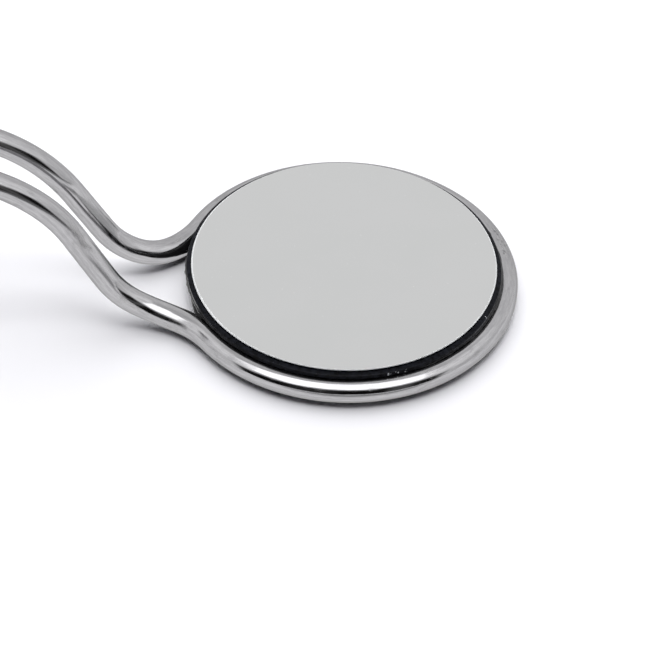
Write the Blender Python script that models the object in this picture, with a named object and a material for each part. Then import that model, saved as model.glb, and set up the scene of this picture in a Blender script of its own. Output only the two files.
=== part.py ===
"""Round mouth mirror: a mirror disc glued into a ring of bent steel wire.

The wire is one closed loop.  It forms the ring under the mirror, leaves it through two reverse
bends, rises in a gooseneck and runs back as a twin-wire handle that closes in a hairpin.

Frame: the origin is at the centre of the backing disc's flat underside, which lies on the table
together with the tail of the handle.  +Z is up and the handle runs towards -X.  The wire and the
backing disc are symmetric about the XZ plane.  The plate sits slightly off centre, towards -Y, and
leans by one degree, with its +Y side the higher one.
Lengths are in metres.
"""

import math

import bmesh
import bpy

MM = 0.001

# Mirror stack: heights above the table along the leaning plate's axis, which starts at the offset.
MIRROR_RADIUS = 19.95 * MM
MIRROR_TOP = 5.25 * MM
PLATE_OFFSET_X = -0.16 * MM
PLATE_OFFSET_Y = -0.73 * MM
PLATE_TILT = math.radians(1.03)
COATING_THICKNESS = 0.2 * MM
COATING_INSET = 0.1 * MM
GLASS_RADIUS = 20.55 * MM
GLASS_THICKNESS = 0.75 * MM
GLASS_BEVEL_WIDTH = 0.45 * MM
GLASS_BEVEL_DROP = 0.15 * MM
GLASS_ARRIS = 0.08 * MM
ADHESIVE_RADIUS = 19.8 * MM
BACKING_TOP = 2.88 * MM
BACKING_LIP_RADIUS = 20.3 * MM
STACK_GAP = 0.2 * MM

# Wire and ring.  The backing disc stands slightly proud of the wire's underside.
WIRE_RADIUS = 1.625 * MM
RING_RADIUS = 21.3 * MM
BACKING_PROUD = 0.275 * MM
RING_PLANE = WIRE_RADIUS + BACKING_PROUD
GROOVE_GAP = 0.25 * MM

# Plan of the twin wires: the neck's reverse bend, a slight taper, then parallel wires.
RING_DEPARTURE = math.radians(31.0)
NECK_BEND_RADIUS = 12.0 * MM
NECK_TAPER = math.radians(6.5)
TAPER_BEND_RADIUS = 22.0 * MM
HALF_SPACING = 4.2 * MM

# Side view of the twin wires: the gooseneck and the handle.
RISE_START = -21.6 * MM
LOWER_BEND_RADIUS = 10.8 * MM
RISE_ANGLE = math.radians(61.5)
RISE_LENGTH = 7.9 * MM
UPPER_BEND_RADIUS = 21.5 * MM
TAIL_END = -142.0 * MM

# Fineness of the solids.
DISC_SEGMENTS = 96
GROOVE_STEPS = 8
RING_STEPS = 34
BEND_STEP = 1.6 * MM
STRAIGHT_STEP = 12.0 * MM
HAIRPIN_STEPS = 7
WIRE_BEVEL_RESOLUTION = 4
SHARP_ANGLE = math.radians(30.0)

# Heights worked out from the stack.
COATING_BOTTOM = MIRROR_TOP - COATING_THICKNESS
GLASS_TOP = COATING_BOTTOM - STACK_GAP
GLASS_BOTTOM = GLASS_TOP - GLASS_THICKNESS
ADHESIVE_TOP = GLASS_BOTTOM - STACK_GAP
ADHESIVE_BOTTOM = BACKING_TOP + STACK_GAP

# Plan points worked out from the bends.  Each bend ends where its tangent meets the next stretch.
NECK_CENTRE_X = -(RING_RADIUS + NECK_BEND_RADIUS) * math.cos(RING_DEPARTURE)
NECK_CENTRE_Y = (RING_RADIUS + NECK_BEND_RADIUS) * math.sin(RING_DEPARTURE)
DEPARTURE_X = -RING_RADIUS * math.cos(RING_DEPARTURE)
NECK_END_X = NECK_CENTRE_X + NECK_BEND_RADIUS * math.sin(NECK_TAPER)
NECK_END_Y = NECK_CENTRE_Y - NECK_BEND_RADIUS * math.cos(NECK_TAPER)
TAPER_END_Y = HALF_SPACING + TAPER_BEND_RADIUS * (1.0 - math.cos(NECK_TAPER))
TAPER_END_X = NECK_END_X - (NECK_END_Y - TAPER_END_Y) / math.tan(NECK_TAPER)
PARALLEL_X = TAPER_END_X - TAPER_BEND_RADIUS * math.sin(NECK_TAPER)

# Side-view points worked out from the bends.
LOWER_BEND_END_X = RISE_START - LOWER_BEND_RADIUS * math.sin(RISE_ANGLE)
LOWER_BEND_END_Z = RING_PLANE + LOWER_BEND_RADIUS * (1.0 - math.cos(RISE_ANGLE))
RISE_END_X = LOWER_BEND_END_X - RISE_LENGTH * math.cos(RISE_ANGLE)
RISE_END_Z = LOWER_BEND_END_Z + RISE_LENGTH * math.sin(RISE_ANGLE)
UPPER_CENTRE_X = RISE_END_X - UPPER_BEND_RADIUS * math.sin(RISE_ANGLE)
UPPER_CENTRE_Z = RISE_END_Z - UPPER_BEND_RADIUS * math.cos(RISE_ANGLE)

# The handle's straight line runs from a tangent on the upper bend down to the tail's tip.
TIP_X = TAIL_END + WIRE_RADIUS
TIP_Z = WIRE_RADIUS
TIP_DISTANCE = math.hypot(TIP_X - UPPER_CENTRE_X, TIP_Z - UPPER_CENTRE_Z)
HANDLE_LENGTH = math.sqrt(TIP_DISTANCE ** 2 - UPPER_BEND_RADIUS ** 2)
HANDLE_SLOPE = (math.atan2(UPPER_CENTRE_X - TIP_X, TIP_Z - UPPER_CENTRE_Z)
                - math.atan2(HANDLE_LENGTH, UPPER_BEND_RADIUS))
UPPER_BEND_END_X = UPPER_CENTRE_X - UPPER_BEND_RADIUS * math.sin(HANDLE_SLOPE)


def clear_scene():
    """Remove every object that the file starts with."""
    for existing in list(bpy.data.objects):
        bpy.data.objects.remove(existing, do_unlink=True)


def make_material(name, colour, roughness, metallic):
    """Return a Principled material with one colour."""
    material = bpy.data.materials.new(name)
    material.use_nodes = True
    shader = material.node_tree.nodes["Principled BSDF"]
    shader.inputs["Base Color"].default_value = (*colour, 1.0)
    shader.inputs["Roughness"].default_value = roughness
    shader.inputs["Metallic"].default_value = metallic
    material.diffuse_color = (*colour, 1.0)
    return material


def add_object(name, data, material):
    """Link data into the scene as a named object with one material."""
    obj = bpy.data.objects.new(name, data)
    data.materials.append(material)
    bpy.context.scene.collection.objects.link(obj)
    return obj


def turned_disc(name, profile, material):
    """Spin a profile of (radius, height) points about a vertical axis and close both flat faces."""
    bm = bmesh.new()
    verts = [bm.verts.new((radius, 0.0, height)) for radius, height in profile]
    edges = [bm.edges.new(pair) for pair in zip(verts, verts[1:])]
    bmesh.ops.spin(bm, geom=verts + edges, cent=(0, 0, 0), axis=(0, 0, 1),
                   angle=2.0 * math.pi, steps=DISC_SEGMENTS, use_merge=True)
    rims = [edge for edge in bm.edges if edge.is_boundary]
    bmesh.ops.holes_fill(bm, edges=rims, sides=0)
    bmesh.ops.recalc_face_normals(bm, faces=bm.faces)
    mesh = bpy.data.meshes.new(name)
    bm.to_mesh(mesh)
    bm.free()
    mesh.shade_smooth()
    mesh.set_sharp_from_angle(angle=SHARP_ANGLE)
    return add_object(name, mesh, material)


def place_on_plate(disc):
    """Move a disc to the plate's centre and lean it with the plate."""
    disc.location = (PLATE_OFFSET_X, PLATE_OFFSET_Y, 0.0)
    disc.rotation_euler.x = PLATE_TILT


def leg_y(x):
    """Half the spacing of the twin wires' centre lines at x."""
    if x > NECK_END_X:
        return NECK_CENTRE_Y - math.sqrt(NECK_BEND_RADIUS ** 2 - (x - NECK_CENTRE_X) ** 2)
    if x > TAPER_END_X:
        return NECK_END_Y - (NECK_END_X - x) * math.tan(NECK_TAPER)
    if x > PARALLEL_X:
        centre_y = HALF_SPACING + TAPER_BEND_RADIUS
        return centre_y - math.sqrt(TAPER_BEND_RADIUS ** 2 - (x - PARALLEL_X) ** 2)
    return HALF_SPACING


def leg_z(x):
    """Height of the twin wires' centre line at x."""
    if x > RISE_START:
        return RING_PLANE
    if x > LOWER_BEND_END_X:
        centre_z = RING_PLANE + LOWER_BEND_RADIUS
        return centre_z - math.sqrt(LOWER_BEND_RADIUS ** 2 - (x - RISE_START) ** 2)
    if x > RISE_END_X:
        return LOWER_BEND_END_Z + (LOWER_BEND_END_X - x) * math.tan(RISE_ANGLE)
    if x > UPPER_BEND_END_X:
        return UPPER_CENTRE_Z + math.sqrt(UPPER_BEND_RADIUS ** 2 - (x - UPPER_CENTRE_X) ** 2)
    return TIP_Z + (x - TIP_X) * math.tan(HANDLE_SLOPE)


def path_length_per_x(x):
    """Length of wire for each unit of x, found from two near points."""
    reach = 0.01 * MM
    rise_y = (leg_y(x - reach) - leg_y(x)) / reach
    rise_z = (leg_z(x - reach) - leg_z(x)) / reach
    return math.sqrt(1.0 + rise_y ** 2 + rise_z ** 2)


def ring_points():
    """Centre line of half the ring, from its far tip to the neck."""
    turn = (math.pi - RING_DEPARTURE) / RING_STEPS
    return [(RING_RADIUS * math.cos(turn * i), RING_RADIUS * math.sin(turn * i), RING_PLANE)
            for i in range(RING_STEPS)]


def leg_points():
    """Centre line of one leg, from the ring to the start of the tail's hairpin."""
    points = []
    hairpin_x = TIP_X + HALF_SPACING * math.cos(HANDLE_SLOPE)
    x = DEPARTURE_X
    while x > hairpin_x + STRAIGHT_STEP / 2:
        points.append((x, leg_y(x), leg_z(x)))
        step = BEND_STEP if x > UPPER_BEND_END_X else STRAIGHT_STEP
        x -= step / path_length_per_x(x)
    return points


def hairpin_points():
    """Centre line of half the tail's hairpin, from one leg to the tip."""
    points = []
    for i in range(HAIRPIN_STEPS + 1):
        turn = 0.5 * math.pi * i / HAIRPIN_STEPS
        before_tip = HALF_SPACING * (1.0 - math.sin(turn))
        x = TIP_X + before_tip * math.cos(HANDLE_SLOPE)
        z = TIP_Z + before_tip * math.sin(HANDLE_SLOPE)
        points.append((x, HALF_SPACING * math.cos(turn), z))
    return points


def wire_frame(material):
    """The bent wire: one half of its centre line, mirrored and swept as a closed tube."""
    half = ring_points() + leg_points() + hairpin_points()
    other_half = [(x, -y, z) for x, y, z in reversed(half[1:-1])]
    loop = half + other_half
    curve = bpy.data.curves.new("wire_frame", "CURVE")
    curve.dimensions = "3D"
    curve.twist_mode = "Z_UP"
    curve.bevel_depth = WIRE_RADIUS
    curve.bevel_resolution = WIRE_BEVEL_RESOLUTION
    spline = curve.splines.new("POLY")
    spline.points.add(len(loop) - 1)
    for point, (x, y, z) in zip(spline.points, loop):
        point.co = (x, y, z, 1.0)
    spline.use_cyclic_u = True
    spline.use_smooth = True
    return add_object("wire_frame", curve, material)


def backing_disc(material):
    """Black disc inside the ring, with a groove around its edge that the wire sits in."""
    groove = WIRE_RADIUS + GROOVE_GAP
    lip_rise = math.asin((RING_RADIUS - BACKING_LIP_RADIUS) / groove)
    top_rise = math.acos((BACKING_TOP - RING_PLANE) / groove)
    profile = [(BACKING_LIP_RADIUS, 0.0)]
    for i in range(GROOVE_STEPS + 1):
        angle = lip_rise + (math.pi - top_rise - lip_rise) * i / GROOVE_STEPS
        profile.append((RING_RADIUS - groove * math.sin(angle),
                        RING_PLANE - groove * math.cos(angle)))
    return turned_disc("backing_disc", profile, material)


def adhesive_bed(material):
    """Layer of black adhesive between the backing disc and the glass, a wedge under its lean."""
    profile = [(ADHESIVE_RADIUS, ADHESIVE_BOTTOM), (ADHESIVE_RADIUS, ADHESIVE_TOP)]
    bed = turned_disc("adhesive_bed", profile, material)
    for vertex in bed.data.vertices:
        if vertex.co.z > 0.5 * (ADHESIVE_BOTTOM + ADHESIVE_TOP):
            vertex.co.z += vertex.co.y * math.tan(PLATE_TILT)
    return bed


def mirror_glass(material):
    """Glass plate with a shallow bevel around its face and a small arris underneath."""
    profile = [(GLASS_RADIUS - GLASS_ARRIS, GLASS_BOTTOM),
               (GLASS_RADIUS, GLASS_BOTTOM + GLASS_ARRIS),
               (GLASS_RADIUS, GLASS_TOP - GLASS_BEVEL_DROP),
               (GLASS_RADIUS - GLASS_BEVEL_WIDTH, GLASS_TOP)]
    plate = turned_disc("mirror_glass", profile, material)
    place_on_plate(plate)
    return plate


def mirror_coating(material):
    """Reflecting layer on the plate's face, made thick enough to be a solid."""
    profile = [(MIRROR_RADIUS, COATING_BOTTOM),
               (MIRROR_RADIUS, MIRROR_TOP - COATING_INSET),
               (MIRROR_RADIUS - COATING_INSET, MIRROR_TOP)]
    coating = turned_disc("mirror_coating", profile, material)
    place_on_plate(coating)
    return coating


def main():
    clear_scene()
    wire_frame(make_material("polished_steel", (0.62, 0.62, 0.63), 0.18, 1.0))
    backing_disc(make_material("black_plastic", (0.02, 0.02, 0.024), 0.35, 0.0))
    adhesive_bed(make_material("black_adhesive", (0.01, 0.01, 0.01), 0.5, 0.0))
    mirror_glass(make_material("edge_glass", (0.05, 0.055, 0.06), 0.12, 0.0))
    mirror_coating(make_material("reflecting_layer", (0.92, 0.92, 0.92), 0.02, 1.0))


main()
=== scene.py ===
"""Looks of the round mouth mirror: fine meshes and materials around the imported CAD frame.

Every piece is a detailed mesh that stands for one CAD node.  Lengths are in millimetres unless a
comment says otherwise, and MM turns them into metres.
"""

import math
import random

import bpy
import numpy as np
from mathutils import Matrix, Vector, noise


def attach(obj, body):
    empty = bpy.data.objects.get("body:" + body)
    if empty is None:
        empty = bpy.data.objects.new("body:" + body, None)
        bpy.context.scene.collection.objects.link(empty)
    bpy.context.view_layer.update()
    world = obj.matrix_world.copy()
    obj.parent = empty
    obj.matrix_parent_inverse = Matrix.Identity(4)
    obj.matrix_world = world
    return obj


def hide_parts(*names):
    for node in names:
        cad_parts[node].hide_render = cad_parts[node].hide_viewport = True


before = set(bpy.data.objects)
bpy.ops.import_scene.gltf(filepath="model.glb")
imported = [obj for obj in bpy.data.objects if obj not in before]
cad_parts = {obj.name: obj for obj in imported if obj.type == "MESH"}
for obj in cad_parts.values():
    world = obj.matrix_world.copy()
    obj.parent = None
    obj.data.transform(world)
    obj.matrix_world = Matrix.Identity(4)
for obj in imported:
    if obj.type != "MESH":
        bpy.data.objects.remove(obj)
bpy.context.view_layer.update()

MM = 0.001

# ---------------------------------------------------------------- the CAD model's driving dimensions
WIRE_RADIUS = 1.625
RING_RADIUS = 21.3
RING_PLANE = 1.9
RING_DEPARTURE = math.radians(31.0)
NECK_BEND_RADIUS = 12.0
NECK_TAPER = math.radians(6.5)
TAPER_BEND_RADIUS = 22.0
HALF_SPACING = 4.2
RISE_START = -21.6
LOWER_BEND_RADIUS = 10.8
RISE_ANGLE = math.radians(61.5)
RISE_LENGTH = 7.9
UPPER_BEND_RADIUS = 21.5
TAIL_END = -142.0

# The leaning plate: heights are measured along its axis, which starts at the offset.
MIRROR_RADIUS = 19.95
MIRROR_TOP = 5.25
COATING_BOTTOM = 5.05
GLASS_RADIUS = 20.55
GLASS_TOP = 4.85
GLASS_BOTTOM = 4.10
PLATE_OFFSET_X = -0.16
PLATE_OFFSET_Y = -0.73
PLATE_TILT = math.radians(1.03)
BACKING_TOP = 2.88
BACKING_LIP_RADIUS = 20.3
GROOVE_GAP = 0.25

# Plan and side-view points of the wire, worked out from its bends.
NECK_CENTRE_X = -(RING_RADIUS + NECK_BEND_RADIUS) * math.cos(RING_DEPARTURE)
NECK_CENTRE_Y = (RING_RADIUS + NECK_BEND_RADIUS) * math.sin(RING_DEPARTURE)
DEPARTURE_X = -RING_RADIUS * math.cos(RING_DEPARTURE)
NECK_END_X = NECK_CENTRE_X + NECK_BEND_RADIUS * math.sin(NECK_TAPER)
NECK_END_Y = NECK_CENTRE_Y - NECK_BEND_RADIUS * math.cos(NECK_TAPER)
TAPER_END_Y = HALF_SPACING + TAPER_BEND_RADIUS * (1.0 - math.cos(NECK_TAPER))
TAPER_END_X = NECK_END_X - (NECK_END_Y - TAPER_END_Y) / math.tan(NECK_TAPER)
PARALLEL_X = TAPER_END_X - TAPER_BEND_RADIUS * math.sin(NECK_TAPER)
LOWER_BEND_END_X = RISE_START - LOWER_BEND_RADIUS * math.sin(RISE_ANGLE)
LOWER_BEND_END_Z = RING_PLANE + LOWER_BEND_RADIUS * (1.0 - math.cos(RISE_ANGLE))
RISE_END_X = LOWER_BEND_END_X - RISE_LENGTH * math.cos(RISE_ANGLE)
RISE_END_Z = LOWER_BEND_END_Z + RISE_LENGTH * math.sin(RISE_ANGLE)
UPPER_CENTRE_X = RISE_END_X - UPPER_BEND_RADIUS * math.sin(RISE_ANGLE)
UPPER_CENTRE_Z = RISE_END_Z - UPPER_BEND_RADIUS * math.cos(RISE_ANGLE)
TIP_X = TAIL_END + WIRE_RADIUS
TIP_Z = WIRE_RADIUS
TIP_DISTANCE = math.hypot(TIP_X - UPPER_CENTRE_X, TIP_Z - UPPER_CENTRE_Z)
HANDLE_LENGTH = math.sqrt(TIP_DISTANCE ** 2 - UPPER_BEND_RADIUS ** 2)
HANDLE_SLOPE = (math.atan2(UPPER_CENTRE_X - TIP_X, TIP_Z - UPPER_CENTRE_Z)
                - math.atan2(HANDLE_LENGTH, UPPER_BEND_RADIUS))
UPPER_BEND_END_X = UPPER_CENTRE_X - UPPER_BEND_RADIUS * math.sin(HANDLE_SLOPE)

# ---------------------------------------------------------------- fineness and finish of the wire
ROUTE_STEP = 0.2
BEND_EASING = 1.6
HAIRPIN_STEPS = 40
WIRE_STEP = 0.45
WIRE_SIDES = 72

# Slow waves and quicker ripples in the skin: height, and fineness round and along the wire.
WAVE_HEIGHT = 0.010
WAVE_ROUND = 1.3
WAVE_ALONG = 0.16
RIPPLE_HEIGHT = 0.0026
RIPPLE_ROUND = 3.1
RIPPLE_ALONG = 0.55
RIPPLE_SHIFT = 7.0

# The filed weld: its place, the finer steps round it, the flat that the file left and the dull zone.
WELD_AZIMUTH = math.radians(9.0)
WELD_STEP = 0.12
WELD_REACH = 5.0
WELD_FLAT = 0.03
WELD_FLAT_LENGTH = 3.2
WELD_FLAT_TURN = math.radians(62.0)
WELD_FLAT_SPREAD = 0.55
WELD_DULL_LENGTH = 9.0
WELD_DULL_SIDES = 0.5
WELD_DULL_UPWARDS = 0.9

# Pits beside the weld: (middle, spread) along the wire and, in degrees, round it; then ranges.
PIT_SEED = 11
PIT_COUNT = 15
PIT_PLACE = (-0.5, 0.9)
PIT_TURN = (76.0, 14.0)
PIT_SIZE = (0.09, 0.2)
PIT_DEPTH = 0.055
PIT_DEPTH_SHARE = (0.4, 1.0)
PIT_STRETCH = 1.4
# The rim pushed up round a pit: height as a share of its depth, place and width.
PIT_RIM_HEIGHT = 0.25
PIT_RIM_PLACE = 1.9
PIT_RIM_WIDTH = 0.5

# ---------------------------------------------------------------- fineness of the round pieces
PLATE_SEGMENTS = 1440
BEAD_SEGMENTS = 720
BACKING_SEGMENTS = 360
EDGE_HEIGHTS = 8
GROOVE_STEPS = 32
BEAD_STEPS = 6

# Frosted ground edge of the mirror's face: mean and least width, and how the width changes.
GROUND_WIDTH = 0.115
GROUND_LEAST = 0.025
GROUND_OVAL = 0.060
GROUND_LOPSIDED = 0.045
GROUND_WANDER = 0.03
GROUND_NICKS = 0.003
# Drop of the mirror's rim, reached where the ground edge is at least this wide.
GROUND_DROP = 0.10
GROUND_FULL_WIDTH = 0.15

# The glass plate's lower chamfer and upper bevel: heights, and steps on the bevel as (inwards, up).
FOOT_CHAMFER = 0.08
BEVEL_HEIGHT = 0.15
BEVEL_STEPS = ((0.05, 0.03), (0.15, 0.065), (0.3, 0.11))
BEVEL_INWARDS = 0.45
# Unevenness of the plate's edge.
EDGE_WANDER = 0.006

# Chips in the plate's edge: middle bearing and spread in degrees, number; then ranges of each chip.
CHIP_SEED = 5
CHIP_CLUSTERS = ((-78.5, 1.4, 5), (-73.3, 0.9, 4), (-58.0, 10.0, 2), (-34.0, 5.0, 1))
CHIP_SIZE = (0.05, 0.12)
CHIP_DEPTH = (0.04, 0.10)
CHIP_RISE = (-0.6, 0.0)
CHIP_ROUGHNESS = 0.7
CHIP_GRAIN = 9.0
# Below 1, chips are taller than they are wide.
CHIP_SHAPE = 0.8
# How fast the glass turns pale towards the middle of a chip.
CHIP_PALENESS = 2.2

# Painted reflection: paler zones on the plate's dark edge, in a stripe at one height where the edge looks
# lit: middle bearing and reach in degrees.
PAINTED_SHEEN_ZONES = ((-28.0, 27.0), (-170.0, 24.0))
PAINTED_SHEEN_MARK = 0.1
PAINTED_SHEEN_HEIGHT = 4.42
PAINTED_SHEEN_REACH = 0.17

# Bead of adhesive: where it meets the wire, in degrees from the top, and how far it climbs the glass.
BEAD_GRIP = 15.0
BEAD_GRIP_WANDER = 6.0
BEAD_GRIP_NICKS = 3.0
BEAD_CLIMB = 0.05
BEAD_CLIMB_WANDER = 0.05
BEAD_CLIMB_NICKS = 0.03
BEAD_LEAST_CLIMB = 0.01
BEAD_BOW = 0.06
BEAD_BOW_NICKS = 0.05
BEAD_BOW_RISE = 0.6
BED_RADIUS = 19.75
BED_INNER_RADIUS = 12.0
# Where the bed meets the wire's inner side, in shares of the wire's radius inwards and up.
BED_ON_WIRE = (0.78, 0.58)
# How far pieces reach into the gaps that stand in for glued contact.
GAP_FILL = 0.02
# The backing disc's rounded lower lip, and how far past the lip's top its groove starts.
LIP_ROUNDING = 0.12
LIP_TO_GROOVE = math.radians(3.0)

# ---------------------------------------------------------------- colours
CLEAN_STEEL = ((0.354, 0.351, 0.363, 1.0), (0.438, 0.434, 0.445, 1.0))
DULL_STEEL = ((0.30, 0.297, 0.307, 1.0), (0.414, 0.410, 0.417, 1.0))
# Painted shade for the wire's pits: the pits are darkened towards this colour.
PAINTED_PIT_SHADE = (0.09, 0.09, 0.095, 1.0)
STEEL_AT_GLANCE = (0.52, 0.52, 0.52, 1.0)
MIRROR_HAZE = ((0.562, 0.570, 0.568, 1.0), (0.588, 0.588, 0.592, 1.0))
MIRROR_DUST = (0.75, 0.75, 0.75, 1.0)
FROSTED_GLASS = ((0.60, 0.61, 0.62, 1.0), (0.76, 0.77, 0.78, 1.0))
THICK_PAINT = (0.0012, 0.0013, 0.0018, 1.0)
THIN_PAINT = (0.010, 0.011, 0.016, 1.0)
PAINTED_SHEEN_COLOUR = (0.115, 0.12, 0.135, 1.0)
PAINT_SPECKS = (0.16, 0.17, 0.19, 1.0)
BROKEN_GLASS = (0.62, 0.64, 0.66, 1.0)
ADHESIVE_BLACK = ((0.0015, 0.0015, 0.0018, 1.0), (0.016, 0.016, 0.019, 1.0))
BACKING_BLACK = ((0.0015, 0.0015, 0.002, 1.0), (0.012, 0.012, 0.014, 1.0))
FLOOR_COLOUR = (0.888, 0.886, 0.92, 1.0)
WHITE = (1.0, 1.0, 1.0, 1.0)

# ---------------------------------------------------------------- camera and studio
CAMERA_DISTANCE = 280.0
CAMERA_ELEVATION = math.radians(43.2)
CAMERA_TURN = math.radians(6.8)
CAMERA_ROLL = math.radians(1.95)
CAMERA_TARGET = (-2.96, -10.05, RING_PLANE)
CAMERA_LENS = 119.3
SENSOR = 36.0

# The two lights: strength, then angular size, tilt from the zenith and azimuth in degrees.
KEY_LIGHT = (0.72, 20.0, 9.0, -97.0)
SWEEP_LIGHT = (3.7, 98.0, 28.5, 86.0)

# Surroundings that the steel reflects.  Angles in degrees: "up" runs from the horizon on the near
# side (0) over the zenith (90), "sideways" from left to right, and "aside" is sideways without its
# sign.  Each edge is (middle, width), and a negative width is an edge where the part ends.
SOFTBOX_FLARE = 0.33
SOFTBOX_CORNER = 0.6
SOFTBOX_CORNER_FROM = 25.0
SOFTBOX_LOW = (44.5, 7.0)
SOFTBOX_HIGH = (-1.0, 5.0)
SOFTBOX_LEFT = (-34.0, 8.0)
SOFTBOX_RIGHT = (-30.0, 6.0)
SOFTBOX_LIGHT = 2.8
DARK_TOP = (36.0, -15.0)
DARK_TOP_RISE = 0.12
DARK_SIDEWAYS = ((-60.0, 8.0), (58.5, -10.0))
ROOM_LIGHT = 0.004
POST_SIDEWAYS = ((27.0, 8.0), (40.0, -8.0))
POST_LIGHT = 0.13
HAZE_SIDEWAYS = ((-29.0, 6.0), (-2.0, -8.0))
HAZE_LIGHT = 0.03
WALL_LIGHT = 1.02
CEILING_UP = ((90.0, 8.0), (120.0, -20.0))
CEILING_ASIDE = (28.0, -12.0)
CEILING_LIGHT = 0.8
GLOW_ASIDE = ((32.0, 14.0), (68.0, -22.0))
GLOW_UP = ((50.0, 24.0), (118.0, -30.0))
GLOW_LIGHT = 0.26
SHADE_SIDEWAYS = (66.0, 16.0)
SHADE_UP = (72.0, -20.0)
SHADE_DEPTH = 0.13

# The floor, and the painted glow that the steel sees in its place.  FLOOR_SIZE is in metres, from the
# middle out.
FLOOR_SIZE = 3.0
FLOOR_IN_STEEL = 1.2
FLOOR_DARKEST = 0.15
FLOOR_DARK_FROM = -88.0
FLOOR_DARK_TO = -125.0
FLOOR_EVENNESS = 0.92
# Painted shade in that glow, a soft dark patch in front of the ring that only the steel sees: place, half
# width, half depth and soft edge.
PATCH_SIDEWAYS = 10.0
PATCH_FARTHER = -37.0
PATCH_WIDTH = 27.0
PATCH_DEPTH = 10.0
PATCH_EDGE = (0.3, 1.5)
PATCH_LEVEL = 0.28


# ================================================================ node helpers
class Nodes:
    """Short calls for building one node tree."""

    def __init__(self, tree):
        self.tree = tree

    def add(self, kind, **settings):
        """A new node with the given settings."""
        node = self.tree.nodes.new(kind)
        for key, value in settings.items():
            setattr(node, key, value)
        return node

    def link(self, source, target):
        """Feed a socket from another socket, or set it to a plain value."""
        if isinstance(source, bpy.types.NodeSocket):
            self.tree.links.new(source, target)
        else:
            target.default_value = source

    def maths(self, operation, first, second=0.0):
        """One sum or comparison of two values."""
        node = self.add("ShaderNodeMath", operation=operation)
        self.link(first, node.inputs[0])
        self.link(second, node.inputs[1])
        return node.outputs[0]

    def product(self, first, *others):
        """All the factors multiplied together."""
        for other in others:
            first = self.maths("MULTIPLY", first, other)
        return first

    def step(self, source, low, high, start=0.0, end=1.0):
        """Smooth step from start to end as the source goes from low to high."""
        node = self.add("ShaderNodeMapRange", interpolation_type="SMOOTHSTEP")
        self.link(source, node.inputs["Value"])
        for socket, value in (("From Min", low), ("From Max", high), ("To Min", start), ("To Max", end)):
            node.inputs[socket].default_value = value
        return node.outputs["Result"]

    def blend(self, factor, first, second):
        """Mix of two values."""
        node = self.add("ShaderNodeMix", data_type="FLOAT")
        self.link(factor, node.inputs["Factor"])
        self.link(first, node.inputs["A"])
        self.link(second, node.inputs["B"])
        return node.outputs["Result"]

    def tint(self, factor, first, second):
        """Mix of two colours."""
        node = self.add("ShaderNodeMix", data_type="RGBA")
        self.link(factor, node.inputs["Factor"])
        self.link(first, [i for i in node.inputs if i.name == "A" and i.type == "RGBA"][0])
        self.link(second, [i for i in node.inputs if i.name == "B" and i.type == "RGBA"][0])
        return [o for o in node.outputs if o.type == "RGBA"][0]

    def scaled(self, vector, factors):
        """The vector stretched by one factor for each axis."""
        node = self.add("ShaderNodeVectorMath", operation="MULTIPLY")
        self.link(vector, node.inputs[0])
        node.inputs[1].default_value = factors
        return node.outputs[0]

    def along(self, vector, axis):
        """How far the vector goes along an axis."""
        node = self.add("ShaderNodeVectorMath", operation="DOT_PRODUCT")
        self.link(vector, node.inputs[0])
        node.inputs[1].default_value = axis
        return node.outputs["Value"]

    def attribute(self, name, output="Fac"):
        """A value that the mesh carries at each point."""
        return self.add("ShaderNodeAttribute", attribute_name=name).outputs[output]

    def place(self):
        """Where the point is, in the object's own metres."""
        return self.add("ShaderNodeTexCoord").outputs["Object"]

    def noise(self, vector, scale, detail, roughness, distortion=0.0):
        """Uneven value about 0.5."""
        node = self.add("ShaderNodeTexNoise")
        self.link(vector, node.inputs["Vector"])
        node.inputs["Scale"].default_value = scale
        node.inputs["Detail"].default_value = detail
        node.inputs["Roughness"].default_value = roughness
        node.inputs["Distortion"].default_value = distortion
        return node.outputs["Fac"]

    def bump(self, height, distance, normal=None):
        """Surface tilt from a height of at most the given distance in metres."""
        node = self.add("ShaderNodeBump")
        node.inputs["Distance"].default_value = distance
        self.link(height, node.inputs["Height"])
        if normal is not None:
            self.link(normal, node.inputs["Normal"])
        return node.outputs["Normal"]


def new_material(name):
    """A material, its node calls and its shader."""
    material = bpy.data.materials.new(name)
    material.use_nodes = True
    nodes = Nodes(material.node_tree)
    return material, nodes, material.node_tree.nodes["Principled BSDF"]


def new_object(name, mesh, material, node):
    """Link a piece, give it its material, attach it to the root body and hide the CAD node it stands for.
    """
    piece = bpy.data.objects.new(name, mesh)
    bpy.context.scene.collection.objects.link(piece)
    mesh.materials.append(material)
    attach(piece, "root")
    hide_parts(node)
    return piece


# ================================================================ the wire's route
def leg_y(x):
    """Distance of a leg of the wire from the middle plane, seen from above."""
    if x > NECK_END_X:
        return NECK_CENTRE_Y - math.sqrt(NECK_BEND_RADIUS ** 2 - (x - NECK_CENTRE_X) ** 2)
    if x > TAPER_END_X:
        return NECK_END_Y - (NECK_END_X - x) * math.tan(NECK_TAPER)
    if x > PARALLEL_X:
        centre_y = HALF_SPACING + TAPER_BEND_RADIUS
        return centre_y - math.sqrt(TAPER_BEND_RADIUS ** 2 - (x - PARALLEL_X) ** 2)
    return HALF_SPACING


def leg_z(x):
    """Height of a leg of the wire, seen from the side."""
    if x > RISE_START:
        return RING_PLANE
    if x > LOWER_BEND_END_X:
        centre_z = RING_PLANE + LOWER_BEND_RADIUS
        return centre_z - math.sqrt(LOWER_BEND_RADIUS ** 2 - (x - RISE_START) ** 2)
    if x > RISE_END_X:
        return LOWER_BEND_END_Z + (LOWER_BEND_END_X - x) * math.tan(RISE_ANGLE)
    if x > UPPER_BEND_END_X:
        return UPPER_CENTRE_Z + math.sqrt(UPPER_BEND_RADIUS ** 2 - (x - UPPER_CENTRE_X) ** 2)
    return TIP_Z + (x - TIP_X) * math.tan(HANDLE_SLOPE)


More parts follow.
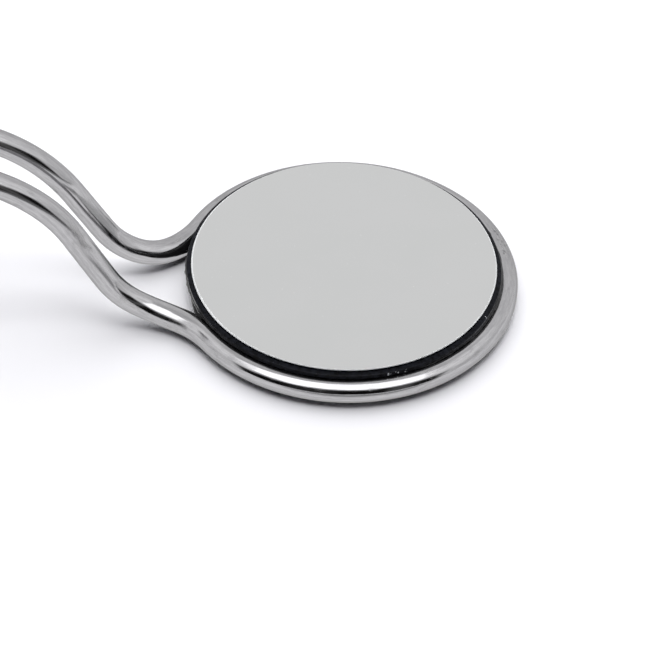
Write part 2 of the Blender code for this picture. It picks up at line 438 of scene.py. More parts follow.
def half_route():
    """Centre line from the ring's far tip, round one side and down one leg to the tail's tip."""
    ring_steps = int(RING_RADIUS * (math.pi - RING_DEPARTURE) / ROUTE_STEP)
    turns = np.linspace(0.0, math.pi - RING_DEPARTURE, ring_steps, endpoint=False)
    points = [(RING_RADIUS * math.cos(turn), RING_RADIUS * math.sin(turn), RING_PLANE)
              for turn in turns]
    x = DEPARTURE_X
    hairpin_x = TIP_X + HALF_SPACING * math.cos(HANDLE_SLOPE)
    while x > hairpin_x:
        points.append((x, leg_y(x), leg_z(x)))
        x -= 0.5 * ROUTE_STEP
    for turn in np.linspace(0.0, 0.5 * math.pi, HAIRPIN_STEPS):
        before_tip = HALF_SPACING * (1.0 - math.sin(turn))
        points.append((TIP_X + before_tip * math.cos(HANDLE_SLOPE),
                       HALF_SPACING * math.cos(turn),
                       TIP_Z + before_tip * math.sin(HANDLE_SLOPE)))
    return np.array(points)


def resample_closed(points, stations, total):
    """Points of a closed line at the given distances along it."""
    closed = np.vstack([points, points[:1]])
    steps = np.linalg.norm(np.diff(closed, axis=0), axis=1)
    along = np.concatenate([[0.0], np.cumsum(steps)])
    wanted = np.mod(stations, total) * along[-1] / total
    return np.stack([np.interp(wanted, along, closed[:, axis]) for axis in range(3)], axis=1)


def closed_length(points):
    """Length of a closed line."""
    closed = np.vstack([points, points[:1]])
    return float(np.linalg.norm(np.diff(closed, axis=0), axis=1).sum())


def wire_route():
    """The whole closed centre line at even steps, with each bend eased into its neighbours."""
    half = half_route()
    mirrored = half[1:-1][::-1] * np.array([1.0, -1.0, 1.0])
    loop = np.vstack([half, mirrored])
    total = closed_length(loop)
    count = int(total / ROUTE_STEP)
    loop = resample_closed(loop, np.arange(count) * total / count, total)
    reach = int(BEND_EASING / ROUTE_STEP)
    kernel = np.hanning(2 * reach + 3)[1:-1]
    kernel /= kernel.sum()
    wrapped = np.vstack([loop[-reach:], loop, loop[:reach]])
    eased = [np.convolve(wrapped[:, axis], kernel, mode="valid") for axis in range(3)]
    return np.stack(eased, axis=1)


def wire_stations(total, weld_at):
    """Distances along the wire, starting at the weld, closer together near it."""
    stations = [0.0]
    while stations[-1] < total:
        here = stations[-1]
        from_weld = min(here, total - here)
        blend = min(1.0, max(0.0, (from_weld - WELD_REACH) / WELD_REACH))
        stations.append(here + WELD_STEP + (WIRE_STEP - WELD_STEP) * blend)
    stations = np.array(stations[:-1])
    stations *= total / (stations[-1] + WELD_STEP)
    return stations, stations + weld_at


def weld_mask(from_weld, turns):
    """1 where the weld was dressed with a file, fading to 0 round it."""
    lengthwise = np.clip(1.0 - np.abs(from_weld) / WELD_DULL_LENGTH, 0.0, 1.0)
    upward = np.clip(WELD_DULL_SIDES + WELD_DULL_UPWARDS * np.sin(turns), 0.0, 1.0)
    return lengthwise[:, None] * upward[None, :]


def drawn_skin(from_weld, turns):
    """Waves and ripples that drawing and polishing left on the wire."""
    skin = np.zeros((len(from_weld), len(turns)))
    for i, along in enumerate(from_weld):
        for k, turn in enumerate(turns):
            across, up = math.cos(turn), math.sin(turn)
            wave = noise.noise(Vector((WAVE_ROUND * across, WAVE_ROUND * up, WAVE_ALONG * along)))
            ripple = noise.noise(Vector((RIPPLE_ROUND * across + RIPPLE_SHIFT, RIPPLE_ROUND * up,
                                         RIPPLE_ALONG * along)))
            skin[i, k] = WAVE_HEIGHT * wave + RIPPLE_HEIGHT * ripple
    return skin


def wire_skin(from_weld, turns):
    """Height of the skin over a perfect round wire, and how far each point lies in a pit, which the steel
    darkens with painted shade.
    """
    skin = drawn_skin(from_weld, turns)
    lengthwise = np.exp(-((from_weld / WELD_FLAT_LENGTH) ** 2))
    crosswise = np.exp(-(((turns - WELD_FLAT_TURN) / WELD_FLAT_SPREAD) ** 2))
    skin -= WELD_FLAT * lengthwise[:, None] * crosswise[None, :]

    around = WIRE_RADIUS * turns[None, :]
    pitted = np.zeros_like(skin)
    dice = random.Random(PIT_SEED)
    for _ in range(PIT_COUNT):
        place = dice.gauss(*PIT_PLACE)
        height = WIRE_RADIUS * math.radians(dice.gauss(*PIT_TURN))
        size = dice.uniform(*PIT_SIZE)
        depth = PIT_DEPTH * dice.uniform(*PIT_DEPTH_SHARE)
        distance = (((from_weld[:, None] - place) / (PIT_STRETCH * size)) ** 2
                    + ((around - height) / size) ** 2)
        hollow = np.exp(-distance)
        rim = np.exp(-((np.sqrt(distance) - PIT_RIM_PLACE) / PIT_RIM_WIDTH) ** 2)
        skin += depth * (PIT_RIM_HEIGHT * rim - hollow)
        pitted = np.maximum(pitted, depth / PIT_DEPTH * hollow)
    return skin, pitted


def build_wire(material):
    """Sweep a round section along the route and shape its skin."""
    route = wire_route()
    total = closed_length(route)
    stations, along = wire_stations(total, RING_RADIUS * WELD_AZIMUTH)
    centres = resample_closed(route, along, total)
    ahead = resample_closed(route, along + 0.5 * ROUTE_STEP, total)
    behind = resample_closed(route, along - 0.5 * ROUTE_STEP, total)
    tangents = ahead - behind
    tangents /= np.linalg.norm(tangents, axis=1)[:, None]
    sides = np.cross(tangents, (0.0, 0.0, 1.0))
    sides /= np.linalg.norm(sides, axis=1)[:, None]
    tops = np.cross(sides, tangents)

    turns = np.arange(WIRE_SIDES) * 2.0 * math.pi / WIRE_SIDES
    from_weld = np.where(stations > 0.5 * total, stations - total, stations)
    skin, pitted = wire_skin(from_weld, turns)
    radius = WIRE_RADIUS + skin
    out = (np.cos(turns)[None, :, None] * sides[:, None, :]
           + np.sin(turns)[None, :, None] * tops[:, None, :])
    verts = centres[:, None, :] + radius[:, :, None] * out
    straight = np.stack([np.broadcast_to(WIRE_RADIUS * np.cos(turns), radius.shape),
                         np.broadcast_to(WIRE_RADIUS * np.sin(turns), radius.shape),
                         np.broadcast_to(stations[:, None], radius.shape)], axis=2)
    dressed = weld_mask(from_weld, turns)

    rows = len(stations)
    faces = []
    for i in range(rows):
        j = (i + 1) % rows
        for k in range(WIRE_SIDES):
            m = (k + 1) % WIRE_SIDES
            faces.append((i * WIRE_SIDES + k, i * WIRE_SIDES + m,
                          j * WIRE_SIDES + m, j * WIRE_SIDES + k))
    mesh = bpy.data.meshes.new("wire_frame_fine")
    mesh.from_pydata((verts.reshape(-1, 3) * MM).tolist(), [], faces)
    attribute = mesh.attributes.new("wire_space", "FLOAT_VECTOR", "POINT")
    attribute.data.foreach_set("vector", straight.reshape(-1).astype(np.float32))
    for name, values in (("dressed", dressed), ("pitted", pitted)):
        attribute = mesh.attributes.new(name, "FLOAT", "POINT")
        attribute.data.foreach_set("value", values.reshape(-1).astype(np.float32))
    mesh.shade_smooth()
    return new_object("steel_wire_frame", mesh, material, "wire_frame")


# ================================================================ round pieces
def spun(name, profiles, marks=None):
    """Mesh from one closed profile of (radius, height) points, in millimetres, for each bearing.

    marks holds one number for each point, which the piece's material reads as "mark".
    """
    segments, count = len(profiles), len(profiles[0])
    verts, values = [], []
    for i, profile in enumerate(profiles):
        turn = 2.0 * math.pi * i / segments
        for k, (radius, height) in enumerate(profile):
            verts.append((radius * math.cos(turn), radius * math.sin(turn), height))
            values.append(marks[i][k] if marks else 0.0)
    faces = []
    for i in range(segments):
        j = (i + 1) % segments
        for k in range(count - 1):
            faces.append((i * count + k, j * count + k, j * count + k + 1, i * count + k + 1))
    low, high = len(verts), len(verts) + 1
    verts.append((0.0, 0.0, sum(profile[0][1] for profile in profiles) / segments))
    verts.append((0.0, 0.0, sum(profile[-1][1] for profile in profiles) / segments))
    values += [0.0, 0.0]
    for i in range(segments):
        j = (i + 1) % segments
        faces.append((low, j * count, i * count))
        faces.append((high, i * count + count - 1, j * count + count - 1))
    return name, verts, faces, values


def finish_spun(shape, material, node, leaning=False, sharp=30.0):
    """Turn a spun shape into a piece, on the leaning plate or on the ring's own axis."""
    name, verts, faces, values = shape
    points = np.array(verts)
    if leaning:
        sine, cosine = math.sin(PLATE_TILT), math.cos(PLATE_TILT)
        points = np.stack([points[:, 0] + PLATE_OFFSET_X,
                           points[:, 1] * cosine - points[:, 2] * sine + PLATE_OFFSET_Y,
                           points[:, 1] * sine + points[:, 2] * cosine], axis=1)
    mesh = bpy.data.meshes.new(name)
    mesh.from_pydata((points * MM).tolist(), [], faces)
    attribute = mesh.attributes.new("mark", "FLOAT", "POINT")
    attribute.data.foreach_set("value", np.array(values, dtype=np.float32))
    mesh.shade_smooth()
    mesh.set_sharp_from_angle(angle=math.radians(sharp))
    return new_object(name, mesh, material, node)


def arc(centre_radius, centre_height, radius, start, end, steps):
    """Points of an arc in the profile plane; angles in degrees, 0 outwards and 90 up."""
    points = []
    for i in range(steps + 1):
        turn = math.radians(start + (end - start) * i / steps)
        points.append((centre_radius + radius * math.cos(turn),
                       centre_height + radius * math.sin(turn)))
    return points


def wobble(turn, cycles, seed):
    """Smooth uneven value between about -1 and 1 that closes round the circle."""
    return 2.0 * noise.noise(Vector((cycles * math.cos(turn), cycles * math.sin(turn), seed)))


def ground_width(turn):
    """Width of the frosted edge that the grinder left round the mirror's face."""
    width = GROUND_WIDTH + GROUND_OVAL * math.cos(2.0 * turn) - GROUND_LOPSIDED * math.cos(turn)
    width += (GROUND_WANDER * wobble(turn, cycles=3.0, seed=1.5)
              + GROUND_NICKS * wobble(turn, cycles=40.0, seed=4.0))
    return max(GROUND_LEAST, width)


def build_mirror_face(material):
    """The reflecting face, with a narrow ground edge whose width wanders.

    Its marks are 1 on the rim and the ground edge, and 0 on the face.
    """
    profiles, marks = [], []
    for i in range(PLATE_SEGMENTS):
        width = ground_width(2.0 * math.pi * i / PLATE_SEGMENTS)
        inner = MIRROR_RADIUS - width
        drop = GROUND_DROP * min(1.0, width / GROUND_FULL_WIDTH)
        edge_and_frost = [(MIRROR_RADIUS - 0.35, COATING_BOTTOM), (MIRROR_RADIUS - 0.02, COATING_BOTTOM),
                          (MIRROR_RADIUS, COATING_BOTTOM + 0.02), (MIRROR_RADIUS, MIRROR_TOP - drop - 0.01),
                          (MIRROR_RADIUS - 0.012, MIRROR_TOP - drop),
                          (inner + 0.5 * width, MIRROR_TOP - 0.42 * drop),
                          (inner + 0.02, MIRROR_TOP - 0.004)]
        face = [(inner - 0.03, MIRROR_TOP), (0.85 * MIRROR_RADIUS, MIRROR_TOP),
                (0.5 * MIRROR_RADIUS, MIRROR_TOP)]
        profiles.append(edge_and_frost + [(inner, MIRROR_TOP)] + face)
        marks.append([1.0] * len(edge_and_frost) + [0.5] + [0.0] * len(face))
    return finish_spun(spun("mirror_face", profiles, marks), material, "mirror_coating",
                       leaning=True, sharp=12.0)


def glass_chips():
    """Bearing, size, depth and rise of each chip in the plate's upper edge."""
    dice = random.Random(CHIP_SEED)
    chips = []
    for middle, reach, count in CHIP_CLUSTERS:
        for _ in range(count):
            chips.append((math.radians(dice.gauss(middle, reach)), dice.uniform(*CHIP_SIZE),
                          dice.uniform(*CHIP_DEPTH), dice.uniform(*CHIP_RISE)))
    return chips


def painted_sheen(turn):
    """How strong the painted reflection on the plate's dark edge is at one bearing, up to a mark of 0.1."""
    sheen = 0.0
    for middle, reach in PAINTED_SHEEN_ZONES:
        apart = math.remainder(turn - math.radians(middle), 2.0 * math.pi) / math.radians(reach)
        sheen = max(sheen, PAINTED_SHEEN_MARK * math.exp(-apart ** 2))
    return sheen


def chipped(turn, height, shoulder, chips):
    """Depth of the chips at one point of the plate's edge, and how broken the glass is there."""
    dug, broken = 0.0, 0.0
    for bearing, size, depth, rise in chips:
        apart = math.remainder(turn - bearing, 2.0 * math.pi) * GLASS_RADIUS
        if abs(apart) < 2.0 * size:
            distance = math.hypot(apart, CHIP_SHAPE * (height - shoulder - rise)) / size
            hollow = max(0.0, 1.0 - distance)
            grain = noise.noise(Vector((CHIP_GRAIN * apart, CHIP_GRAIN * height, depth)))
            dug += depth * hollow * (1.0 + CHIP_ROUGHNESS * grain)
            broken = max(broken, min(1.0, CHIP_PALENESS * hollow))
    return dug, broken


def build_glass(material):
    """The glass plate with its bevel, a few small chips in its upper edge and dark paint with paler zones
    of painted reflection.

    Its marks run up to 0.1 where the reflection is painted and up to 1 in a chip.
    """
    chips = glass_chips()
    shoulder = GLASS_TOP - BEVEL_HEIGHT
    foot = GLASS_BOTTOM + FOOT_CHAMFER
    profile = [(GLASS_RADIUS - 0.6, GLASS_BOTTOM), (GLASS_RADIUS - FOOT_CHAMFER, GLASS_BOTTOM)]
    profile += [(GLASS_RADIUS, height) for height in np.linspace(foot, shoulder, EDGE_HEIGHTS)]
    profile += [(GLASS_RADIUS - inwards, shoulder + up) for inwards, up in BEVEL_STEPS]
    profile += [(GLASS_RADIUS - BEVEL_INWARDS, GLASS_TOP), (GLASS_RADIUS - 1.0, GLASS_TOP)]
    profiles, marks = [], []
    for i in range(PLATE_SEGMENTS):
        turn = 2.0 * math.pi * i / PLATE_SEGMENTS
        sheen = painted_sheen(turn)
        shaped, row = [], []
        for k, (radius, height) in enumerate(profile):
            mark = sheen * math.exp(-((height - PAINTED_SHEEN_HEIGHT) / PAINTED_SHEEN_REACH) ** 2)
            if 1 < k < len(profile) - 2:
                dug, broken = chipped(turn, height, shoulder, chips)
                radius += EDGE_WANDER * wobble(turn, cycles=60.0, seed=0.5 * k) - dug
                mark = max(mark, broken)
            shaped.append((radius, height))
            row.append(mark)
        profiles.append(shaped)
        marks.append(row)
    return finish_spun(spun("glass_plate", profiles, marks), material, "mirror_glass",
                       leaning=True, sharp=24.0)


def glass_edge_at(turn):
    """Radius from the ring's axis, and height, of the plate's lower edge at one bearing."""
    centre_y = PLATE_OFFSET_Y - GLASS_BOTTOM * math.sin(PLATE_TILT)
    along = PLATE_OFFSET_X * math.cos(turn) + centre_y * math.sin(turn)
    across = PLATE_OFFSET_X * math.sin(turn) - centre_y * math.cos(turn)
    radius = along + math.sqrt(GLASS_RADIUS ** 2 - across ** 2)
    height = GLASS_BOTTOM + (radius * math.sin(turn) - centre_y) * math.tan(PLATE_TILT)
    return radius, height


def build_adhesive(material):
    """The black adhesive: a bed under the glass and an uneven bead squeezed out against the wire."""
    profiles = []
    for i in range(BEAD_SEGMENTS):
        turn = 2.0 * math.pi * i / BEAD_SEGMENTS
        edge_radius, edge_height = glass_edge_at(turn)
        slow = wobble(turn, cycles=5.0, seed=2.0)
        quick = wobble(turn, cycles=26.0, seed=8.0)
        grip = math.radians(BEAD_GRIP + BEAD_GRIP_WANDER * slow + BEAD_GRIP_NICKS * quick)
        reach = WIRE_RADIUS - GAP_FILL
        foot_radius = RING_RADIUS - reach * math.sin(grip)
        foot_height = RING_PLANE + reach * math.cos(grip)
        climb = (BEAD_CLIMB + BEAD_CLIMB_WANDER * wobble(turn, cycles=7.0, seed=5.0)
                 + BEAD_CLIMB_NICKS * wobble(turn, cycles=31.0, seed=6.0))
        top_radius = edge_radius + 0.015
        top_height = edge_height + max(BEAD_LEAST_CLIMB, climb)
        profile = [(BACKING_LIP_RADIUS - 1.4, BACKING_TOP + GAP_FILL), (BED_RADIUS, BACKING_TOP + GAP_FILL),
                   (RING_RADIUS - BED_ON_WIRE[0] * WIRE_RADIUS, RING_PLANE + BED_ON_WIRE[1] * WIRE_RADIUS),
                   (foot_radius, foot_height)]
        bow = BEAD_BOW + BEAD_BOW_NICKS * quick
        for k in range(1, BEAD_STEPS):
            share = k / BEAD_STEPS
            bulge = bow * math.sin(math.pi * share)
            profile.append((foot_radius + (top_radius - foot_radius) * share + bulge,
                            foot_height + (top_height - foot_height) * share + BEAD_BOW_RISE * bulge))
        inner_height = GLASS_BOTTOM + BED_INNER_RADIUS * math.sin(turn) * math.tan(PLATE_TILT)
        profile += [(top_radius, top_height), (edge_radius - 0.05, edge_height + 0.03),
                    (edge_radius - 0.6, edge_height - 0.015), (BED_INNER_RADIUS, inner_height)]
        profiles.append(profile)
    return finish_spun(spun("adhesive_bead", profiles), material, "adhesive_bed", sharp=40.0)


def build_backing(material):
    """The black backing disc: a groove round it for the wire, rounded lips and a flat underside."""
    groove = WIRE_RADIUS + GROOVE_GAP - GAP_FILL
    lip_rise = math.asin((RING_RADIUS - BACKING_LIP_RADIUS) / groove) + LIP_TO_GROOVE
    top_rise = math.acos((BACKING_TOP - RING_PLANE) / groove)
    rounding = LIP_ROUNDING
    profile = [(BACKING_LIP_RADIUS - 3.0, 0.0)]
    profile += arc(BACKING_LIP_RADIUS - rounding, rounding, rounding, start=-90, end=20, steps=6)
    for i in range(GROOVE_STEPS + 1):
        angle = lip_rise + (math.pi - top_rise - lip_rise) * i / GROOVE_STEPS
        profile.append((RING_RADIUS - groove * math.sin(angle), RING_PLANE - groove * math.cos(angle)))
    profile.append((profile[-1][0] - 0.12, BACKING_TOP))
    profile.append((profile[-1][0] - 2.0, BACKING_TOP))
    return finish_spun(spun("backing_disc_fine", [profile] * BACKING_SEGMENTS), material,
                       "backing_disc")


# ================================================================ materials
def steel_material():
    """Polished wire: lines drawn along it, duller patches, fine grain, a filed weld and pits darkened with
    painted shade.
    """
    material, nodes, shader = new_material("polished_steel")
    space = nodes.attribute("wire_space", "Vector")
    lines = nodes.noise(nodes.scaled(space, (1.0, 1.0, 0.05)), scale=2.6, detail=3.0, roughness=0.6)
    hairlines = nodes.noise(nodes.scaled(space, (1.0, 1.0, 0.10)), scale=8.0, detail=2.0, roughness=0.6)
    patches = nodes.noise(nodes.scaled(space, (0.55, 0.55, 0.2)), scale=1.0, detail=3.0, roughness=0.6,
                          distortion=0.4)
    grain = nodes.noise(nodes.scaled(space, (1.0, 1.0, 0.22)), scale=3.4, detail=3.0, roughness=0.7)
    filed = nodes.product(nodes.attribute("dressed"), nodes.step(grain, 0.30, 0.62))
    dull = nodes.maths("MAXIMUM", nodes.step(patches, 0.54, 0.70), filed)

    polished = nodes.blend(hairlines, 0.07, 0.17)
    roughness = nodes.blend(dull, polished, nodes.blend(grain, 0.22, 0.36))
    nodes.link(roughness, shader.inputs["Roughness"])

    streaks = nodes.step(nodes.blend(0.45, lines, grain), 0.36, 0.64)
    clean = nodes.tint(streaks, *CLEAN_STEEL)
    dusty = nodes.tint(nodes.step(grain, 0.30, 0.70), *DULL_STEEL)
    # Painted shade: the pits are darkened as if shade lay in them.
    pit_shade = nodes.step(nodes.attribute("pitted"), 0.05, 0.85, 0.0, 0.7)
    colour = nodes.tint(pit_shade, nodes.tint(dull, clean, dusty), PAINTED_PIT_SHADE)
    nodes.link(colour, shader.inputs["Base Color"])
    shader.inputs["Metallic"].default_value = 1.0
    shader.inputs["Specular Tint"].default_value = STEEL_AT_GLANCE

    coarse = nodes.bump(lines, 0.009 * MM)
    scratches = nodes.maths("ADD", hairlines, nodes.product(grain, 0.35))
    nodes.link(nodes.bump(scratches, 0.0011 * MM, normal=coarse), shader.inputs["Normal"])
    return material


def mirror_material():
    """Reflecting layer with faint wiping marks, a little dust and a frosted ground edge."""
    material, nodes, shader = new_material("reflecting_layer")
    place = nodes.place()
    ground = nodes.step(nodes.attribute("mark"), 0.35, 0.65)
    haze = nodes.noise(nodes.scaled(place, (60.0, 110.0, 60.0)), scale=1.0, detail=3.0, roughness=0.5,
                       distortion=0.6)
    wiped = nodes.noise(nodes.scaled(place, (90.0, 700.0, 90.0)), scale=1.0, detail=2.0, roughness=0.5)
    dust = nodes.step(nodes.noise(place, scale=2600.0, detail=1.0, roughness=0.4), 0.76, 0.80)
    sand = nodes.noise(place, scale=5200.0, detail=2.0, roughness=0.7)

    face = nodes.tint(haze, *MIRROR_HAZE)
    face = nodes.tint(nodes.product(dust, 0.25), face, MIRROR_DUST)
    frosted = nodes.tint(sand, *FROSTED_GLASS)
    nodes.link(nodes.tint(ground, face, frosted), shader.inputs["Base Color"])
    nodes.link(nodes.maths("SUBTRACT", 1.0, ground), shader.inputs["Metallic"])
    polish = nodes.product(nodes.maths("ADD", wiped, nodes.product(dust, 4.0)), 0.03)
    nodes.link(nodes.blend(ground, polish, 0.6), shader.inputs["Roughness"])
    nodes.link(nodes.bump(nodes.product(sand, ground), 0.008 * MM), shader.inputs["Normal"])
    return material


def glass_material():
    """Plate edge painted dark: glossy, mottled, with paler zones of painted reflection and pale broken
    glass in its chips.
    """
    material, nodes, shader = new_material("dark_edge_glass")
    place = nodes.place()
    mark = nodes.attribute("mark")
    mottle = nodes.noise(place, scale=1500.0, detail=4.0, roughness=0.65)
    grit = nodes.noise(place, scale=4200.0, detail=2.0, roughness=0.6)
    # Painted reflection: where the mark is small, the dark edge is tinted paler as if it caught the light.
    thin_and_sheen = nodes.tint(nodes.step(mark, 0.0, PAINTED_SHEEN_MARK), THIN_PAINT, PAINTED_SHEEN_COLOUR)
    painted = nodes.tint(nodes.step(mottle, 0.30, 0.70), THICK_PAINT, thin_and_sheen)
    specks = nodes.product(nodes.step(grit, 0.70, 0.78), 0.35)
    painted = nodes.tint(specks, painted, PAINT_SPECKS)
    broken = nodes.step(nodes.product(mark, nodes.step(grit, 0.30, 0.62)), 0.12, 0.55)
    nodes.link(nodes.tint(broken, painted, BROKEN_GLASS), shader.inputs["Base Color"])
    nodes.link(nodes.blend(broken, nodes.blend(mottle, 0.10, 0.32), 0.45), shader.inputs["Roughness"])
    shader.inputs["Specular IOR Level"].default_value = 0.06
    uneven = nodes.maths("ADD", mottle, nodes.product(grit, 0.3))
    nodes.link(nodes.bump(uneven, 0.02 * MM), shader.inputs["Normal"])
    return material


def adhesive_material():
    """Black adhesive: satin skin with fine lumps and a few glossy patches."""
    material, nodes, shader = new_material("black_adhesive")
    place = nodes.place()
    lumps = nodes.noise(place, scale=1400.0, detail=3.0, roughness=0.6)
    skin = nodes.noise(place, scale=350.0, detail=2.0, roughness=0.5)
    nodes.link(nodes.tint(nodes.step(lumps, 0.35, 0.75), *ADHESIVE_BLACK), shader.inputs["Base Color"])
    nodes.link(nodes.blend(skin, 0.18, 0.50), shader.inputs["Roughness"])
    shader.inputs["Specular IOR Level"].default_value = 0.22
    uneven = nodes.maths("ADD", lumps, nodes.product(skin, 1.5))
    nodes.link(nodes.bump(uneven, 0.03 * MM), shader.inputs["Normal"])
    return material


def backing_material():
    """Black moulded plastic: fine texture and paler streaks where it was rubbed."""
    material, nodes, shader = new_material("black_plastic")
    place = nodes.place()
    texture = nodes.noise(place, scale=3000.0, detail=3.0, roughness=0.6)
    rubbed = nodes.noise(nodes.scaled(place, (300.0, 60.0, 300.0)), scale=1.0, detail=4.0, roughness=0.6,
                         distortion=0.5)
    nodes.link(nodes.tint(nodes.step(rubbed, 0.45, 0.75), *BACKING_BLACK), shader.inputs["Base Color"])
    nodes.link(nodes.blend(nodes.step(rubbed, 0.35, 0.70), 0.32, 0.52), shader.inputs["Roughness"])
    shader.inputs["Specular IOR Level"].default_value = 0.16
    nodes.link(nodes.bump(texture, 0.015 * MM), shader.inputs["Normal"])
    return material


# ================================================================ studio
def build_camera():
    """The camera at the photo's angle."""
    horizontal = math.cos(CAMERA_ELEVATION)
    back = Vector((-horizontal * math.sin(CAMERA_TURN), -horizontal * math.cos(CAMERA_TURN),
                   math.sin(CAMERA_ELEVATION)))
    right = Vector((math.cos(CAMERA_TURN), -math.sin(CAMERA_TURN), 0.0))
    up = back.cross(right)
    across = right * math.cos(CAMERA_ROLL) + up * math.sin(CAMERA_ROLL)
    upward = up * math.cos(CAMERA_ROLL) - right * math.sin(CAMERA_ROLL)
    place = (Vector(CAMERA_TARGET) + back * CAMERA_DISTANCE) * MM
    data = bpy.data.cameras.new("camera")
    data.lens = CAMERA_LENS
    data.sensor_width = SENSOR
    data.clip_start = 0.01
    camera = bpy.data.objects.new("camera", data)
    bpy.context.scene.collection.objects.link(camera)
    matrix = camera.matrix_world.to_3x3()
    for row in range(3):
        matrix[row][0] = across[row]
        matrix[row][1] = upward[row]
        matrix[row][2] = back[row]
    camera.matrix_world = matrix.to_4x4()
    camera.location = place
    bpy.context.scene.camera = camera


def floor_in_steel(nodes):
    """Painted glow of the floor as the steel sees it: even, with a soft dark patch of painted shade, and
    dark towards the viewer.
    """
    place = nodes.place()
    sine, cosine = math.sin(CAMERA_TURN), math.cos(CAMERA_TURN)
    farther = nodes.along(place, (sine, cosine, 0.0))
    sideways = nodes.along(place, (cosine, -sine, 0.0))
    across = nodes.maths("DIVIDE", nodes.maths("SUBTRACT", sideways, PATCH_SIDEWAYS * MM), PATCH_WIDTH * MM)
    onward = nodes.maths("DIVIDE", nodes.maths("SUBTRACT", farther, PATCH_FARTHER * MM), PATCH_DEPTH * MM)
    from_patch = nodes.maths("ADD", nodes.product(across, across), nodes.product(onward, onward))
    patch = nodes.step(from_patch, *PATCH_EDGE, PATCH_LEVEL, 1.0)
    fading = nodes.step(farther, FLOOR_DARK_TO * MM, FLOOR_DARK_FROM * MM, FLOOR_DARKEST, FLOOR_IN_STEEL)
    return nodes.product(fading, patch)


def build_floor():
    """A pale table, lit by the lights; glossy rays mostly see the painted glow set out in floor_in_steel
    instead.
    """
    size = FLOOR_SIZE
    mesh = bpy.data.meshes.new("floor")
    mesh.from_pydata([(-size, -size, 0.0), (size, -size, 0.0), (size, size, 0.0), (-size, size, 0.0)],
                     [], [(0, 1, 2, 3)])
    floor = bpy.data.objects.new("floor", mesh)
    bpy.context.scene.collection.objects.link(floor)
    material, nodes, shader = new_material("pale_floor")
    shader.inputs["Base Color"].default_value = FLOOR_COLOUR
    shader.inputs["Roughness"].default_value = 0.9
    shader.inputs["Specular IOR Level"].default_value = 0.0
    # Painted reflection: glossy rays see this glow in place of the lit floor.
    even = nodes.add("ShaderNodeEmission")
    even.inputs["Color"].default_value = WHITE
    nodes.link(floor_in_steel(nodes), even.inputs["Strength"])
    path = nodes.add("ShaderNodeLightPath")
    first_bounce = nodes.maths("LESS_THAN", path.outputs["Diffuse Depth"], 0.5)
    mixed = nodes.add("ShaderNodeMixShader")
    nodes.link(nodes.product(path.outputs["Is Glossy Ray"], first_bounce, FLOOR_EVENNESS), mixed.inputs[0])
    nodes.link(shader.outputs[0], mixed.inputs[1])
    nodes.link(even.outputs[0], mixed.inputs[2])
    nodes.link(mixed.outputs[0], material.node_tree.nodes["Material Output"].inputs["Surface"])
    mesh.materials.append(material)


def add_sun(name, strength, spread, tilt, toward):
    """A far light: tilt from the zenith, leaning towards the given azimuth, in degrees."""
    data = bpy.data.lights.new(name, "SUN")
    data.energy = strength
    data.angle = math.radians(spread)
    light = bpy.data.objects.new(name, data)
    bpy.context.scene.collection.objects.link(light)
    lean = math.radians(tilt)
    side = math.radians(toward)
    source = Vector((math.sin(lean) * math.cos(side), math.sin(lean) * math.sin(side), math.cos(lean)))
    light.rotation_euler = source.to_track_quat("Z", "Y").to_euler()
    light.visible_glossy = False


def edge(middle, width):
    """Limits of a soft edge, in radians, from degrees; a negative width turns it round."""
    return math.radians(middle - 0.5 * width), math.radians(middle + 0.5 * width)


def inside(nodes, angle, *edges):
    """1 inside the given edges of an angle, fading softly to 0 outside them."""
    return nodes.product(*[nodes.step(angle, *edge(*limits)) for limits in edges])


def softbox_shape(nodes, sideways, upward):
    """1 inside the softbox, which widens downwards and has its lower corners cut off."""
    aside = nodes.maths("ABSOLUTE", sideways)
    from_zenith = nodes.maths("SUBTRACT", math.radians(90.0), upward)
    flare = nodes.product(from_zenith, SOFTBOX_FLARE)
    past_corner = nodes.maths("SUBTRACT", aside, math.radians(SOFTBOX_CORNER_FROM))
    corner = nodes.product(nodes.maths("MAXIMUM", past_corner, 0.0), SOFTBOX_CORNER)
    return nodes.product(inside(nodes, nodes.maths("SUBTRACT", upward, corner), SOFTBOX_LOW),
                         inside(nodes, from_zenith, SOFTBOX_HIGH),
                         inside(nodes, nodes.maths("ADD", sideways, flare), SOFTBOX_LEFT),
                         inside(nodes, nodes.maths("SUBTRACT", flare, sideways), SOFTBOX_RIGHT))


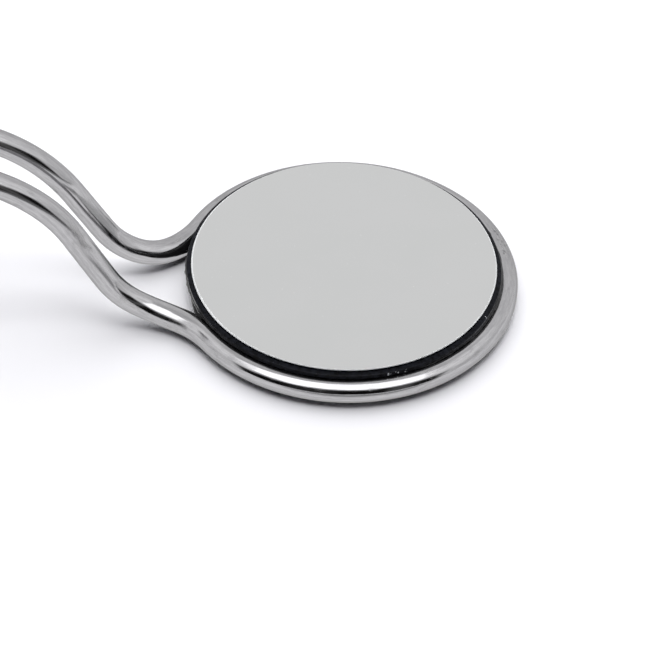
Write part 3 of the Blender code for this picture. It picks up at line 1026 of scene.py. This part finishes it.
def build_world():
    """A softbox overhead on the near side, a dark room below it and pale walls elsewhere."""
    world = bpy.data.worlds.new("studio")
    bpy.context.scene.world = world
    world.use_nodes = True
    background = world.node_tree.nodes["Background"]
    nodes = Nodes(world.node_tree)
    toward = nodes.add("ShaderNodeTexCoord").outputs["Generated"]
    path = nodes.add("ShaderNodeLightPath")
    sine, cosine = math.sin(CAMERA_TURN), math.cos(CAMERA_TURN)
    nearer = nodes.along(toward, (-sine, -cosine, 0.0))
    sideways = nodes.maths("ARCSINE", nodes.along(toward, (cosine, -sine, 0.0)))
    upward = nodes.maths("ARCTAN2", nodes.along(toward, (0.0, 0.0, 1.0)), nearer)
    aside = nodes.maths("ABSOLUTE", sideways)

    # The dark room is left out of second reflections, such as steel showing in steel.
    first_bounce = nodes.maths("LESS_THAN", path.outputs["Glossy Depth"], 1.5)
    below_top = nodes.maths("SUBTRACT", upward, nodes.product(aside, DARK_TOP_RISE))
    dark = nodes.product(inside(nodes, below_top, DARK_TOP), inside(nodes, sideways, *DARK_SIDEWAYS),
                         first_bounce)
    post = nodes.product(inside(nodes, sideways, *POST_SIDEWAYS), POST_LIGHT)
    haze = nodes.product(inside(nodes, sideways, *HAZE_SIDEWAYS), HAZE_LIGHT)
    room = nodes.maths("ADD", nodes.maths("ADD", post, haze), ROOM_LIGHT)

    ceiling = nodes.product(inside(nodes, upward, *CEILING_UP), inside(nodes, aside, CEILING_ASIDE))
    glow = nodes.product(inside(nodes, aside, *GLOW_ASIDE), inside(nodes, upward, *GLOW_UP), GLOW_LIGHT)
    shade = nodes.product(inside(nodes, sideways, SHADE_SIDEWAYS), inside(nodes, upward, SHADE_UP),
                          SHADE_DEPTH)
    walls = nodes.blend(ceiling, WALL_LIGHT, CEILING_LIGHT)
    walls = nodes.maths("SUBTRACT", nodes.maths("ADD", walls, glow), shade)

    light = nodes.blend(dark, walls, room)
    light = nodes.blend(softbox_shape(nodes, sideways, upward), light, SOFTBOX_LIGHT)
    light = nodes.product(light, nodes.maths("LESS_THAN", path.outputs["Diffuse Depth"], 0.5))
    light = nodes.blend(path.outputs["Is Camera Ray"], light, 1.0)
    nodes.link(light, background.inputs["Strength"])
    background.inputs["Color"].default_value = WHITE
    world.cycles_visibility.diffuse = False


def main():
    """Build the pieces and the studio round them."""
    build_camera()
    build_floor()
    build_wire(steel_material())
    build_mirror_face(mirror_material())
    build_glass(glass_material())
    build_adhesive(adhesive_material())
    build_backing(backing_material())
    add_sun("key", *KEY_LIGHT)
    add_sun("sweep", *SWEEP_LIGHT)
    build_world()
    bpy.context.scene.view_settings.view_transform = "Standard"


main()
